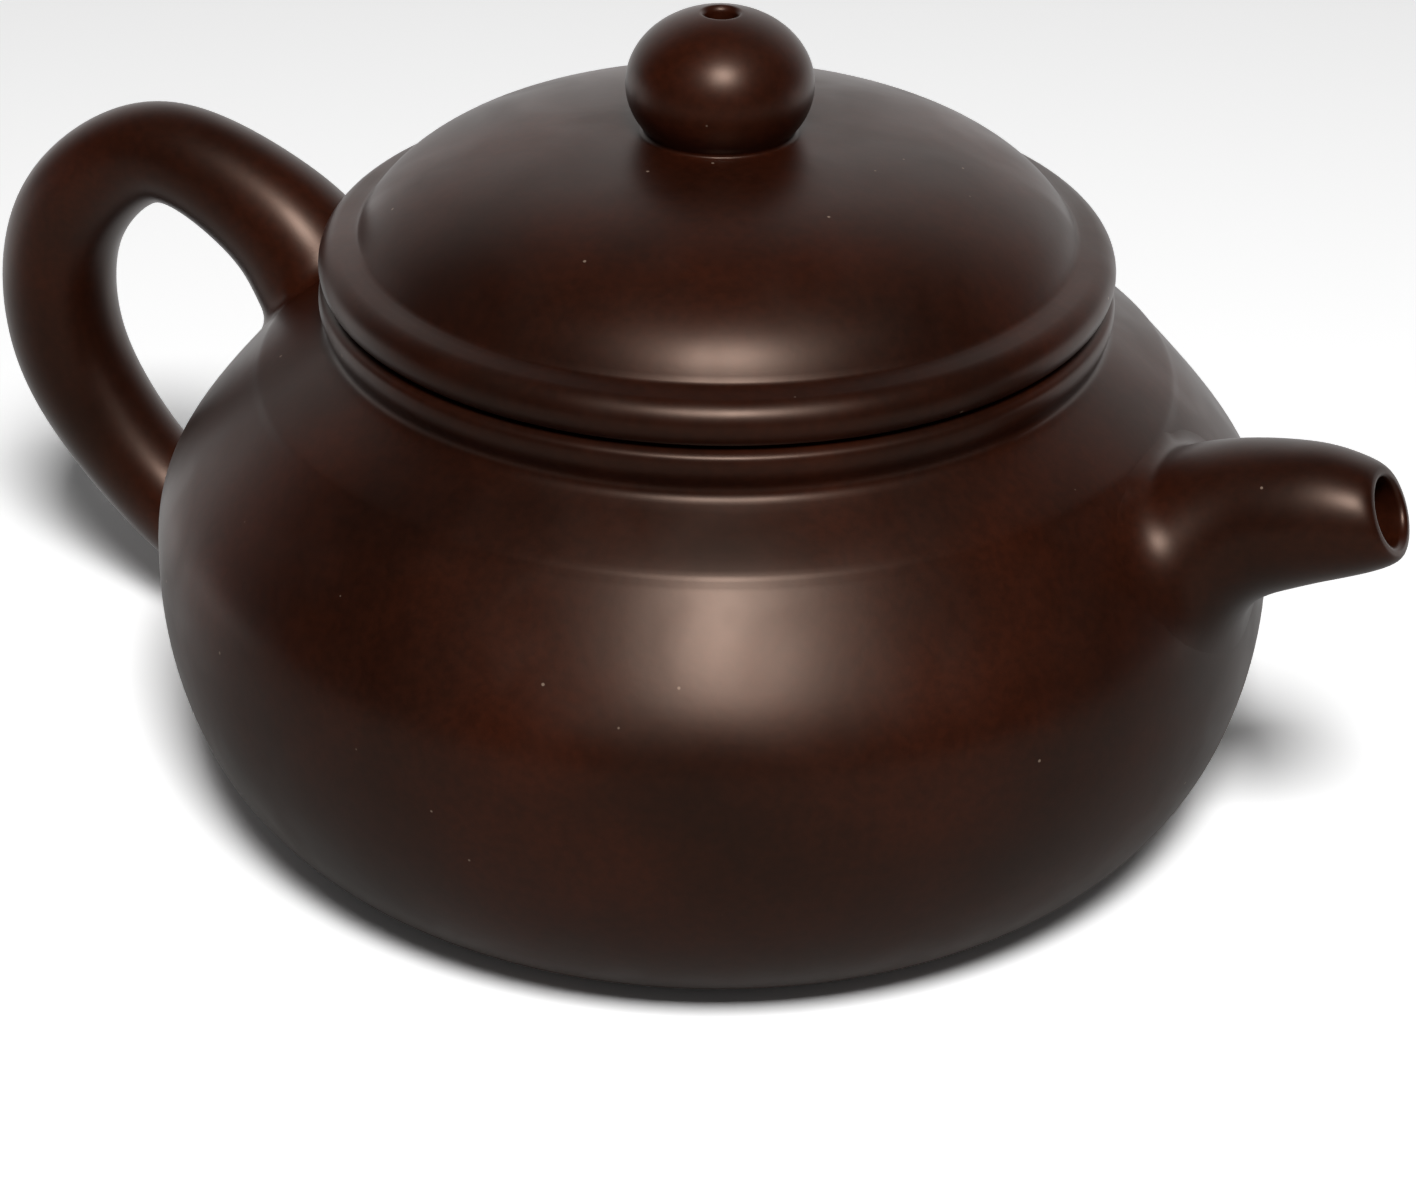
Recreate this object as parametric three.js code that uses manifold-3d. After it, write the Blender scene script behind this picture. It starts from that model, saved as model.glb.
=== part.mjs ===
import * as THREE from "three";
import { mergeVertices } from "three/addons/utils/BufferGeometryUtils.js";
import Module from "manifold-3d";

// A squat clay teapot, put together from clay members as a potter luts them with slip.
// Millimetres, +Z up. The origin is on the pot's axis at the plane it stands on, and +X points to the spout.

// Driving dimensions of the body
const bellyRadius = 55; // widest outer radius
const bellyHeight = 25; // height of the widest place
const bellyDrop = 8; // how far the side runs straight down before it turns under
const bellyRise = 7.8; // how far the side runs straight up before it turns in
const footRadius = 38; // outer edge of the ring that the pot stands on
const footSweep = 13.7; // how far the underside runs out from that ring
const footSweepRise = 1; // its rise over that length
const footRingWidth = 5; // width of the flat ring itself
const hollowDepth = 0.8; // depth of the dish pressed into the underside
const hollowSlope = 4; // width over which the dish falls away from the ring
const baseThickness = 3.4; // underside of the ring to the floor of the chamber
const bodyWall = 3; // thickness of the side wall
const ridgeRadius = 44.55; // soft line where the top disc is luted on to the side wall
const ridgeHeight = 45.2;
const ridgeSweep = 15.5; // length over which the side leans in below that line
const ridgeLean = THREE.MathUtils.degToRad(48); // the side's slope at that line
const ridgeLip = 0.2; // how far the edge of the top disc stands proud of the side
const shoulderThickness = 3; // top disc at the mouth
const shoulderRoll = 1.1; // width over which the edge of the top disc rolls down
const shoulderWidth = 6.95; // ridge line to the foot of the mouth rim
const shoulderRise = 5.6; // ridge line to the foot of the mouth rim, upwards
const neckFillet = 1.4; // cove between the top disc and the mouth rim
const mouthRimWall = 4; // mouth rim at its foot
const mouthRimHeight = 3.6;
const mouthRimFlare = 0.5; // how far the top of the rim stands out past its foot
const mouthRimSwell = 0.9; // fullness of the rim's rounded outer face
const mouthRimEase = 0.4; // softened top edges

// Driving dimensions of the lid
const lidSeatGap = 0.3; // clearance between the lid and the mouth rim
const lidOverhang = 0.1; // rounded edge line beyond the top of the mouth rim
const lidBeadRadius = 2.5; // rounding of that line
const lidBeadRise = 1.8; // centre of the rounding above the seat
const lidBeadLift = 0.2; // lower end of the rounding above the seat
const lidBeadTop = THREE.MathUtils.degToRad(70); // where the rounding runs out on to the ledge
const lidRimThickness = 4.6; // seat to the ledge that the dome stands on
const lidLedge = 3.8; // width of the rim outside the dome
const domeRise = 9.9; // ledge to the flat under the knob
const domeEdgeRoll = 9.9; // length of the steep roll at the dome's edge
const domeEdgeSlope = THREE.MathUtils.degToRad(60.5);
const domeCrownReach = 8; // length of the nearly level crown
const lidWall = 2.6;
const flangeClearance = 0.4; // radial play of the locating flange in the mouth
const flangeWall = 2.4;
const flangeDepth = 7;
const flangeTaper = 0.5; // lead-in at the flange's lower edge
const knobRadius = 8.9;
const knobHalfHeight = 7.2;
const knobBaseRadius = 6.8; // where the flattened ball sits on the dome
const airHoleRadius = 1.5; // vent through the knob and the dome
const airHoleEase = 0.4; // softened upper edge of the vent

// Driving dimensions of the spout and its strainer
const spoutRootDrop = 6.5; // centre of the root on the side wall below the ridge line
const spoutRootRise = THREE.MathUtils.degToRad(31.7); // angle of the root above level
const spoutBlankDepth = 9; // the spout is shaped this far behind the wall's face, then trimmed
const spoutBend = 6.9; // root to the bend
const spoutReach = 13.1; // tip beyond the widest place of the belly
const spoutTipRise = 6; // centre of the pouring mouth above the centre of the root
const spoutTipRadius = 3.9;
const spoutTipTilt = THREE.MathUtils.degToRad(13.8); // the pouring mouth leans back by this
const spoutTipTurn = 0.6; // share of the spout's length where that lean starts
const spoutRootRadius = 8; // tube at the root, before it spreads
const spoutFullness = 0.46; // under 1 keeps the tube full until near the tip
const spoutSpreadLength = 12; // length of tube over which the root spreads on to the wall
const spoutSpreadDepth = 4; // the spread is complete this far behind the wall's face
const spoutSpreadSide = 11; // complete spread, to each side
const spoutSpreadDrop = 2.5; // complete spread, downwards
const spoutBoreRadius = 3.2; // bore at the pouring mouth
const spoutLipEase = 1; // length of the lip's rounding
const spoutLipThinning = 0.3; // outer radius lost over that rounding
const portRadius = 7; // hole through the side wall behind the spout
const strainerWall = 1.5;
const strainerInset = 0.6; // strainer's rim behind the wall's outer face
const strainerHoleRadius = 0.9;
const strainerRings = [1, 6, 12]; // holes in each ring, from the middle out
const strainerRingStep = THREE.MathUtils.degToRad(27); // angle between rings

// Driving dimensions of the handle, a bent rod. Out is measured beyond the belly's widest place.
const handleRootInset = 0.55; // centre of the upper root inside the ridge line, on the top disc
const handleRootSink = 1.4; // the rod's line starts this far under the top disc's face
const handleShoulderOut = 5.4; // first rise of the rod, from its upper root
const handleShoulderRise = 4.3;
const handleCrownOut = 8.5;
const handleCrownRise = 9.9; // top of the rod's line above the ridge line
const handleTurnOut = 20.4;
const handleTurnHeight = 45.3;
const handleBackOut = 21.5;
const handleBackHeight = 30;
const handleHeelOut = 8.65;
const handleHeelHeight = 13.95;
const handleFootHeight = 10; // lower root on the side wall
const handleRootThickness = 14.6;
const handleShoulderThickness = 12.5;
const handleCrownThickness = 10.3;
const handleTurnThickness = 11.7;
const handleBackThickness = 12;
const handleHeelThickness = 11.1;
const handleFootThickness = 13.6;
const handleBlankDepth = 6; // the rod is shaped this far into the wall, then trimmed

// Clearances
const jointGap = 0.3; // between a member and the curved face that it is trimmed to
const lidPathGap = 0.8; // keeps the handle clear of the lid as it lifts straight off

// Facets
const turnSteps = 48; // round each turned piece
const tubeSteps = 20; // round the spout and its bore
const rodSteps = 16; // round the handle
const holeSteps = 8; // round each strainer hole
const strainerSteps = 20; // round the strainer
const curveSteps = 6; // along each curve of an outline
const domeSteps = 9; // along the lid's dome
const coveSteps = 3;
const mouthRimSteps = 4;
const ballSteps = 10; // from the knob's foot to its vent
const strainerArcSteps = 6;
const spoutRings = 11;
const handleRings = 26;
const cutMargin = 2; // how far a cutting shape runs past what it cuts

const clay = new THREE.MeshStandardMaterial({ color: 0x2d1812, roughness: 0.5, metalness: 0 });
const bareClay = new THREE.MeshStandardMaterial({ color: 0x3a241c, roughness: 0.8, metalness: 0 });

// Sizes that follow from the dimensions above
const neckRadius = ridgeRadius - shoulderWidth; // outer radius at the foot of the mouth rim
const neckHeight = ridgeHeight + shoulderRise; // the mouth rim stands on the top disc here
const mouthRadius = neckRadius - mouthRimWall; // bore of the mouth
const lidRimRadius = neckRadius + mouthRimFlare + lidOverhang;
const domeRadius = lidRimRadius - lidLedge;
const spoutRootHeight = ridgeHeight - spoutRootDrop;
const mouthTop = neckHeight + mouthRimHeight;
const lidSeat = mouthTop + lidSeatGap;
const domeSeat = lidSeat + lidRimThickness;
const domeTop = domeSeat + domeRise;
const flangeRadius = mouthRadius - flangeClearance;
const flangeBore = flangeRadius - flangeWall;

const wasm = await Module();
wasm.setup();

const flat = (r, z) => new THREE.Vector2(r, z);

// A turned piece from its outline in (radius, height), closed on itself unless it starts on the axis
function turned(outline, steps = turnSteps) {
  const points = outline[0].x > 0 ? [...outline, outline[0]] : outline;
  const upright = new THREE.Matrix4().set(1, 0, 0, 0, 0, 0, -1, 0, 0, 1, 0, 0, 0, 0, 0, 1);
  return new THREE.LatheGeometry(points, steps).applyMatrix4(upright);
}

// A closed skin over a row of rings that all have as many points
function loft(rings) {
  const count = rings[0].length;
  const points = rings.flat();
  const faces = [];
  for (let i = 0; i < rings.length - 1; i++) {
    for (let j = 0; j < count; j++) {
      const a = i * count + j;
      const b = i * count + ((j + 1) % count);
      faces.push(a, b, b + count, a, b + count, a + count);
    }
  }
  for (const start of [0, (rings.length - 1) * count]) {
    const middle = points.length;
    const sum = new THREE.Vector3();
    for (let j = 0; j < count; j++) {
      const a = start + j;
      const b = start + ((j + 1) % count);
      sum.add(points[a]);
      faces.push(middle, start ? a : b, start ? b : a);
    }
    points.push(sum.divideScalar(count));
  }
  return new THREE.BufferGeometry().setFromPoints(points).setIndex(faces);
}

function solid(geometry) {
  const bare = geometry.clone();
  bare.deleteAttribute("normal");
  bare.deleteAttribute("uv");
  const merged = mergeVertices(bare, 1e-4);
  const vertProperties = new Float32Array(merged.getAttribute("position").array);
  const triVerts = new Uint32Array(merged.index.array);
  return new wasm.Manifold(new wasm.Mesh({ numProp: 3, vertProperties, triVerts }));
}

function geometryOf(shape) {
  const { numVert, numProp, vertProperties, triVerts } = shape.getMesh();
  const points = [];
  for (let i = 0; i < numVert; i++) {
    points.push(new THREE.Vector3().fromArray(vertProperties, i * numProp));
  }
  return new THREE.BufferGeometry().setFromPoints(points).setIndex([...triVerts]);
}

function named(name, geometry, material = clay) {
  geometry.computeVertexNormals();
  const mesh = new THREE.Mesh(geometry, material);
  mesh.name = name;
  return mesh;
}

// Point of an outer curve moved in by a thickness, square to the curve
function inset(curve, t, thickness) {
  const p = curve.getPoint(t);
  const along = curve.getTangent(t);
  return flat(p.x - along.y * thickness, p.y + along.x * thickness);
}

function insetPoints(curve, from, to, thickness) {
  const points = [];
  for (let i = 0; i <= curveSteps; i++) {
    points.push(inset(curve, THREE.MathUtils.lerp(from, to, i / curveSteps), thickness));
  }
  return points;
}

// Where on a rising curve the moved point reaches a height
function reaching(curve, height, thickness) {
  let low = 0;
  let high = 1;
  for (let i = 0; i < 40; i++) {
    const middle = (low + high) / 2;
    if (inset(curve, middle, thickness).y < height) {
      low = middle;
    } else {
      high = middle;
    }
  }
  return high;
}

function arc(centre, radiusOut, radiusUp, from, to, steps) {
  const points = [];
  for (let i = 0; i <= steps; i++) {
    const angle = THREE.MathUtils.lerp(from, to, i / steps);
    points.push(flat(centre.x + radiusOut * Math.cos(angle), centre.y + radiusUp * Math.sin(angle)));
  }
  return points;
}

// Where a line of outline points crosses a value of x or y
function crossing(points, key, value) {
  const i = points.findIndex((p, k) => k > 0 && (p[key] - value) * (points[k - 1][key] - value) <= 0);
  const [a, b] = [points[i - 1], points[i]];
  return a.clone().lerp(b, (value - a[key]) / (b[key] - a[key]));
}

// A line of outline points moved outwards by a gap
function grown(points, gap) {
  return points.map((p, i) => {
    const before = points[Math.max(i - 1, 0)];
    const after = points[Math.min(i + 1, points.length - 1)];
    const along = after.clone().sub(before).normalize();
    return flat(p.x + along.y * gap, p.y - along.x * gap);
  });
}

// Outer outline of the body, from the foot up
const lowerSide = new THREE.CubicBezierCurve(
  flat(footRadius, 0),
  flat(footRadius + footSweep, footSweepRise),
  flat(bellyRadius, bellyHeight - bellyDrop),
  flat(bellyRadius, bellyHeight),
);
const upperSide = new THREE.CubicBezierCurve(
  flat(bellyRadius, bellyHeight),
  flat(bellyRadius, bellyHeight + bellyRise),
  flat(ridgeRadius + ridgeSweep * Math.cos(ridgeLean), ridgeHeight - ridgeSweep * Math.sin(ridgeLean)),
  flat(ridgeRadius, ridgeHeight),
);
const shoulderSlope = Math.atan2(neckHeight - neckFillet - ridgeHeight, ridgeRadius - neckRadius);
const cove = arc(
  flat(neckRadius + neckFillet, neckHeight),
  neckFillet,
  neckFillet,
  1.5 * Math.PI - shoulderSlope,
  Math.PI,
  coveSteps,
);
const shoulderCurve = new THREE.QuadraticBezierCurve(
  flat(ridgeRadius + ridgeLip, ridgeHeight),
  flat(ridgeRadius + ridgeLip - shoulderRoll, ridgeHeight + shoulderRoll),
  cove[0],
);
const mouthCurve = new THREE.QuadraticBezierCurve(
  flat(neckRadius, neckHeight),
  flat(neckRadius + mouthRimFlare / 2 + mouthRimSwell, neckHeight + mouthRimHeight / 2),
  flat(neckRadius + mouthRimFlare, mouthTop - mouthRimEase),
);
const seamParameter = reaching(lowerSide, baseThickness, 0);
const baseSide = insetPoints(lowerSide, 0, seamParameter, 0);
const side = [
  ...insetPoints(lowerSide, seamParameter, 1, 0),
  ...insetPoints(upperSide, 0, 1, 0).slice(1),
];
const shoulder = [...shoulderCurve.getPoints(curveSteps), ...cove.slice(1)];
const mouthFace = mouthCurve.getPoints(mouthRimSteps);
const bodyOutline = [...baseSide, ...side.slice(1), ...shoulder, ...mouthFace.slice(1)];

// Underside of the top disc, a cone that the seam with the side wall cuts at the ridge's height
const sideInnerEnd = inset(upperSide, 1, bodyWall);
const discInnerEnd = flat(mouthRadius, neckHeight - shoulderThickness);
const seamInner = crossing([sideInnerEnd, discInnerEnd], "y", ridgeHeight);

// The whole outside of the body as one solid, moved out by a gap, to trim the spout and the handle
function bodyEnvelope(gap) {
  const outline = grown(bodyOutline, gap);
  return solid(turned([flat(0, -gap), ...outline, flat(0, outline.at(-1).y)]));
}

function baseDisc() {
  const ringInner = footRadius - footRingWidth;
  const underside = [flat(0, hollowDepth), flat(ringInner - hollowSlope, hollowDepth), flat(ringInner, 0)];
  return turned([...underside, ...baseSide, flat(0, baseThickness)]);
}

function shoulderDisc() {
  return turned([seamInner, ...shoulder, flat(mouthRadius, neckHeight), discInnerEnd]);
}

function mouthRim() {
  return turned([
    flat(mouthRadius, neckHeight),
    ...mouthFace,
    flat(neckRadius + mouthRimFlare - 2 * mouthRimEase, mouthTop),
    flat(mouthRadius + mouthRimEase, mouthTop),
    flat(mouthRadius, mouthTop - mouthRimEase),
  ]);
}

// Line of the spout, straight through the wall and then in one bend to the tip
const rootPoint = crossing(side, "y", spoutRootHeight);
const rootDirection = flat(Math.cos(spoutRootRise), Math.sin(spoutRootRise));
const spoutStart = rootPoint.clone().addScaledVector(rootDirection, -spoutBlankDepth);
const spoutBendPoint = rootPoint.clone().addScaledVector(rootDirection, spoutBend);
const spoutTip = flat(bellyRadius + spoutReach, spoutRootHeight + spoutTipRise);
const spoutCurve = new THREE.QuadraticBezierCurve(rootPoint, spoutBendPoint, spoutTip);
const spoutLength = spoutCurve.getLength();

// Ring of a tube whose line lies in the plane of the handle and the spout
function ring(centre, angle, radiusUp, radiusSide, steps) {
  const points = [];
  for (let i = 0; i < steps; i++) {
    const turn = (2 * Math.PI * i) / steps;
    const up = radiusUp * Math.cos(turn);
    const left = radiusSide * Math.sin(turn);
    points.push(new THREE.Vector3(centre.x - up * Math.sin(angle), -left, centre.y + up * Math.cos(angle)));
  }
  return points;
}

// Ring of the spout at a distance from the wall's face, negative inside the wall
function spoutRing(distance, radiusUp, radiusSide = radiusUp, drop = 0) {
  const share = distance / spoutLength;
  const inWall = rootPoint.clone().addScaledVector(rootDirection, distance);
  const centre = share <= 0 ? inWall : spoutCurve.getPointAt(Math.min(share, 1));
  const along = share <= 0 ? rootDirection : spoutCurve.getTangentAt(Math.min(share, 1));
  centre.addScaledVector(along, Math.max(distance - spoutLength, 0));
  const angle = along.angle() + spoutTipTilt * THREE.MathUtils.smoothstep(share, spoutTipTurn, 1);
  centre.add(flat(drop * Math.sin(angle), -drop * Math.cos(angle)));
  return ring(centre, angle, radiusUp, radiusSide, tubeSteps);
}

function spoutRadius(distance) {
  const rest = Math.max(1 - distance / spoutLength, 0);
  return spoutTipRadius + (spoutRootRadius - spoutTipRadius) * rest ** spoutFullness;
}

// Share of the root's spread that is reached at a distance from the wall's face
function spoutSpread(distance) {
  const rest = (spoutSpreadLength - distance) / (spoutSpreadLength + spoutSpreadDepth);
  return THREE.MathUtils.clamp(rest, 0, 1) ** 2;
}

// The rings stand closer together towards the tip, where the tube rounds off
function spoutBlank() {
  const rings = [];
  const bodyEnd = spoutLength - spoutLipEase;
  for (let i = 0; i <= spoutRings; i++) {
    const reach = Math.sin((Math.PI * i) / (2 * spoutRings));
    const distance = THREE.MathUtils.lerp(-spoutBlankDepth, bodyEnd, reach);
    const radius = spoutRadius(distance);
    const side = spoutSpreadSide * spoutSpread(distance);
    const drop = (spoutSpreadDrop * spoutSpread(distance)) / 2;
    rings.push(spoutRing(distance, radius + drop, radius + side, drop));
  }
  rings.push(spoutRing(spoutLength - spoutLipEase / 3, spoutRadius(spoutLength) - spoutLipThinning / 4));
  rings.push(spoutRing(spoutLength, spoutRadius(spoutLength) - spoutLipThinning));
  return solid(loft(rings));
}

function spoutBore() {
  const rings = [spoutRing(-spoutBlankDepth - cutMargin, portRadius)];
  for (let i = 0; i <= spoutRings; i++) {
    const distance = (spoutLength * i) / spoutRings;
    rings.push(spoutRing(distance, THREE.MathUtils.lerp(portRadius, spoutBoreRadius, i / spoutRings)));
  }
  rings.push(spoutRing(spoutLength + cutMargin, spoutBoreRadius));
  return solid(loft(rings));
}

function spout() {
  return geometryOf(spoutBlank().subtract(bodyEnvelope(jointGap)).subtract(spoutBore()));
}

// Stands a piece made along +Z on the spout's root line, at a distance from the wall's face
function onRootLine(geometry, distance) {
  const at = rootPoint.clone().addScaledVector(rootDirection, distance);
  geometry.rotateY(Math.PI / 2 - spoutRootRise);
  return geometry.translate(at.x, 0, at.y);
}

function bellyWall() {
  const inner = [
    ...insetPoints(upperSide, 1, 0, bodyWall),
    ...insetPoints(lowerSide, 1, reaching(lowerSide, baseThickness, bodyWall), bodyWall).slice(1),
  ];
  const wall = solid(turned([...side, seamInner, ...inner]));
  const port = new THREE.CylinderGeometry(portRadius, portRadius, 2 * spoutBlankDepth, strainerSteps);
  port.rotateX(Math.PI / 2);
  return geometryOf(wall.subtract(solid(onRootLine(port, 0))));
}

// A pierced ball cap whose collar stands in the port, with the ball towards the tea
function strainer() {
  const outer = portRadius - jointGap;
  const inner = outer - strainerWall;
  const centre = -bodyWall;
  const outline = [
    ...arc(flat(0, 0), outer, outer, -Math.PI / 2, 0, strainerArcSteps),
    flat(outer, bodyWall - strainerInset),
    flat(inner, bodyWall - strainerInset),
    ...arc(flat(0, 0), inner, inner, 0, -Math.PI / 2, strainerArcSteps),
  ];
  outline[0].x = 0;
  outline.at(-1).x = 0;
  let cap = solid(turned(outline, strainerSteps));
  const down = new THREE.Vector3(0, -1, 0);
  strainerRings.forEach((count, ringIndex) => {
    for (let i = 0; i < count; i++) {
      const hole = new THREE.CylinderGeometry(
        strainerHoleRadius,
        strainerHoleRadius,
        2 * strainerWall + cutMargin,
        holeSteps,
      );
      const polar = ringIndex * strainerRingStep;
      const direction = new THREE.Vector3().setFromSphericalCoords(1, Math.PI - polar, (2 * Math.PI * i) / count);
      const upright = new THREE.Vector3(direction.x, direction.z, direction.y);
      hole.applyQuaternion(new THREE.Quaternion().setFromUnitVectors(down, upright));
      hole.translate(...upright.multiplyScalar((outer + inner) / 2));
      cap = cap.subtract(solid(hole));
    }
  });
  return onRootLine(geometryOf(cap), centre);
}

// Line of the handle. Each place holds the rod's radius as its middle value.
function handleTrack() {
  const place = (x, z, thickness) => new THREE.Vector3(x, thickness / 2, z);
  const beyond = (out, z, thickness) => place(-bellyRadius - out, z, thickness);
  const top = crossing(shoulder, "x", ridgeRadius - handleRootInset);
  const foot = crossing(side, "y", handleFootHeight);
  return new THREE.CatmullRomCurve3([
    place(handleBlankDepth / 2 - top.x, top.y - handleRootSink - handleBlankDepth, handleRootThickness),
    place(-top.x, top.y - handleRootSink, handleRootThickness),
    place(-top.x - handleShoulderOut, top.y + handleShoulderRise, handleShoulderThickness),
    beyond(handleCrownOut, ridgeHeight + handleCrownRise, handleCrownThickness),
    beyond(handleTurnOut, handleTurnHeight, handleTurnThickness),
    beyond(handleBackOut, handleBackHeight, handleBackThickness),
    beyond(handleHeelOut, handleHeelHeight, handleHeelThickness),
    place(-foot.x, foot.y, handleFootThickness),
    place(handleBlankDepth - foot.x, foot.y, handleFootThickness),
  ]);
}

function handle() {
  const track = handleTrack();
  const rings = [];
  for (let i = 0; i <= handleRings; i++) {
    const place = track.getPointAt(i / handleRings);
    const along = track.getTangentAt(i / handleRings);
    const angle = Math.atan2(along.z, along.x);
    rings.push(ring(flat(place.x, place.z), angle, place.y, place.y, rodSteps));
  }
  const pathRadius = lidRimRadius + lidPathGap;
  const lidPath = new THREE.CylinderGeometry(pathRadius, pathRadius, bellyRadius, turnSteps);
  lidPath.rotateX(Math.PI / 2);
  lidPath.translate(0, 0, mouthTop + bellyRadius / 2);
  return geometryOf(solid(loft(rings)).subtract(bodyEnvelope(jointGap)).subtract(solid(lidPath)));
}

function lidFlange() {
  const lowerEdge = lidSeat - flangeDepth;
  return turned([
    flat(flangeBore, lowerEdge),
    flat(flangeRadius - flangeTaper, lowerEdge),
    flat(flangeRadius, lowerEdge + 2 * flangeTaper),
    flat(flangeRadius, lidSeat),
    flat(flangeBore, lidSeat),
  ]);
}

function lidRim() {
  const centre = flat(lidRimRadius - lidBeadRadius, lidSeat + lidBeadRise);
  const lowest = -Math.asin((lidBeadRise - lidBeadLift) / lidBeadRadius);
  const bead = arc(centre, lidBeadRadius, lidBeadRadius, lowest, lidBeadTop, curveSteps);
  return turned([
    flat(flangeBore, lidSeat),
    flat(bead[0].x - 4 * lidBeadLift, lidSeat),
    ...bead,
    flat(domeRadius, domeSeat),
    flat(flangeBore, domeSeat),
  ]);
}

const domeCurve = new THREE.CubicBezierCurve(
  flat(domeRadius, domeSeat),
  flat(domeRadius - domeEdgeRoll * Math.cos(domeEdgeSlope), domeSeat + domeEdgeRoll * Math.sin(domeEdgeSlope)),
  flat(knobBaseRadius + domeCrownReach, domeTop),
  flat(knobBaseRadius, domeTop),
);

function lidDome() {
  return turned([
    ...domeCurve.getPoints(domeSteps),
    flat(airHoleRadius, domeTop),
    flat(airHoleRadius, domeTop - lidWall),
    ...insetPoints(domeCurve, 1, reaching(domeCurve, domeSeat, lidWall), lidWall),
  ]);
}

function knob() {
  const lowest = Math.acos(knobBaseRadius / knobRadius);
  const highest = Math.acos((airHoleRadius + airHoleEase) / knobRadius);
  const centre = flat(0, domeTop + knobHalfHeight * Math.sin(lowest));
  const ball = arc(centre, knobRadius, knobHalfHeight, -lowest, highest, ballSteps);
  return turned([
    flat(airHoleRadius, domeTop),
    ...ball,
    flat(airHoleRadius, ball.at(-1).y - airHoleEase),
  ]);
}

const pot = new THREE.Group();
pot.add(
  named("base_disc", baseDisc()),
  named("belly_wall", bellyWall()),
  named("shoulder_disc", shoulderDisc()),
  named("mouth_rim", mouthRim()),
  named("spout", spout()),
  named("strainer", strainer(), bareClay),
  named("handle", handle()),
);

const lid = new THREE.Group();
lid.add(
  named("lid_flange", lidFlange(), bareClay),
  named("lid_rim", lidRim()),
  named("lid_dome", lidDome()),
  named("knob", knob()),
);

const teapot = new THREE.Group();
teapot.add(pot, lid);

export default teapot;
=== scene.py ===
import math

import bpy
import numpy as np
from mathutils import Matrix, Vector


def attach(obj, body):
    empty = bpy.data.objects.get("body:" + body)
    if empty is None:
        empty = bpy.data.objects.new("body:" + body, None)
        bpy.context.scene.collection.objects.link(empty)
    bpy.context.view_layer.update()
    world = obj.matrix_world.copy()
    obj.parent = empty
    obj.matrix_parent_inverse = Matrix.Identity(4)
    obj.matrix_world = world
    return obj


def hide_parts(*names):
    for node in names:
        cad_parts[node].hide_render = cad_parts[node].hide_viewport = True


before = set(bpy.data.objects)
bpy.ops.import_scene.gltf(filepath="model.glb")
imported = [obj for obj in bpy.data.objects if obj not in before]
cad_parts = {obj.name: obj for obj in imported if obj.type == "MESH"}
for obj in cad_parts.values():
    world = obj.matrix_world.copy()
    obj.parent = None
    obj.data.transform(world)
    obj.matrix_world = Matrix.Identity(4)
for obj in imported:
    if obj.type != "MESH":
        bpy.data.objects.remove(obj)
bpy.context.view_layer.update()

# Every length in a dictionary is in millimetres and every angle in degrees, unless its note says otherwise.
mm = 0.001
scene = bpy.context.scene


# Outlines: rows of (distance from the axis, height)
def bezier(points, count=80):
    share = np.linspace(0, 1, count)[:, None]
    level = [np.array(point, float)[None] for point in points]
    while len(level) > 1:
        level = [(1 - share) * a + share * b for a, b in zip(level[:-1], level[1:])]
    return level[0]


def arc(centre, radiusOut, radiusUp, start, end, count=30):
    angle = np.radians(np.linspace(start, end, count))
    return np.stack([centre[0] + radiusOut * np.cos(angle), centre[1] + radiusUp * np.sin(angle)], 1)


def lengthAlong(line):
    return np.r_[0, np.cumsum(np.linalg.norm(np.diff(line[:, :2], axis=0), axis=1))]


# The same line with its points one step apart
def evenly(line, step):
    line = np.array(line, float)
    length = lengthAlong(line)
    moved = np.r_[True, np.diff(length) > 1e-9]
    at = np.linspace(0, length[-1], max(int(round(length[-1] / step)), 2) + 1)
    return np.stack([np.interp(at, length[moved], line[moved, i]) for i in range(line.shape[1])], 1)


# Rounds each corner of a line, as slip, sponge and burnishing do; both ends stay where they are
def softened(line, step, softness):
    fine = evenly(line, step)
    reach = int(3 * softness / step) + 1
    weight = np.exp(-0.5 * (np.arange(-reach, reach + 1) * step / softness) ** 2)
    weight /= weight.sum()
    before = 2 * fine[0] - fine[reach:0:-1]
    after = 2 * fine[-1] - fine[-2 : -reach - 2 : -1]
    padded = np.vstack([before, fine, after])
    return np.stack([np.convolve(padded[:, i], weight, mode="valid") for i in range(fine.shape[1])], 1)


# Leaves points close together only where the line bends
def thinned(line, fine, coarse, bend=3.0):
    along = np.diff(line, axis=0)
    turned = np.abs(np.diff(np.unwrap(np.arctan2(along[:, 1], along[:, 0]))))
    length = np.linalg.norm(along, axis=1)
    keep = [0]
    angle = run = 0.0
    for i in range(1, len(line) - 1):
        angle += turned[i - 1]
        run += length[i - 1]
        if run >= coarse or (run >= fine and angle > math.radians(bend)):
            keep.append(i)
            angle = run = 0.0
    return line[keep + [len(line) - 1]]


# A line beside another, to the left of its direction
def beside(line, distance):
    along = np.gradient(line, axis=0)
    along /= np.linalg.norm(along, axis=1)[:, None]
    return line + distance * np.stack([-along[:, 1], along[:, 0]], 1)


# Meshes
def newPiece(name, vertices, faces):
    mesh = bpy.data.meshes.new(name)
    mesh.from_pydata([tuple(vertex) for vertex in np.asarray(vertices, float) * mm], [], faces)
    piece = bpy.data.objects.new(name, mesh)
    scene.collection.objects.link(piece)
    return piece


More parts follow.
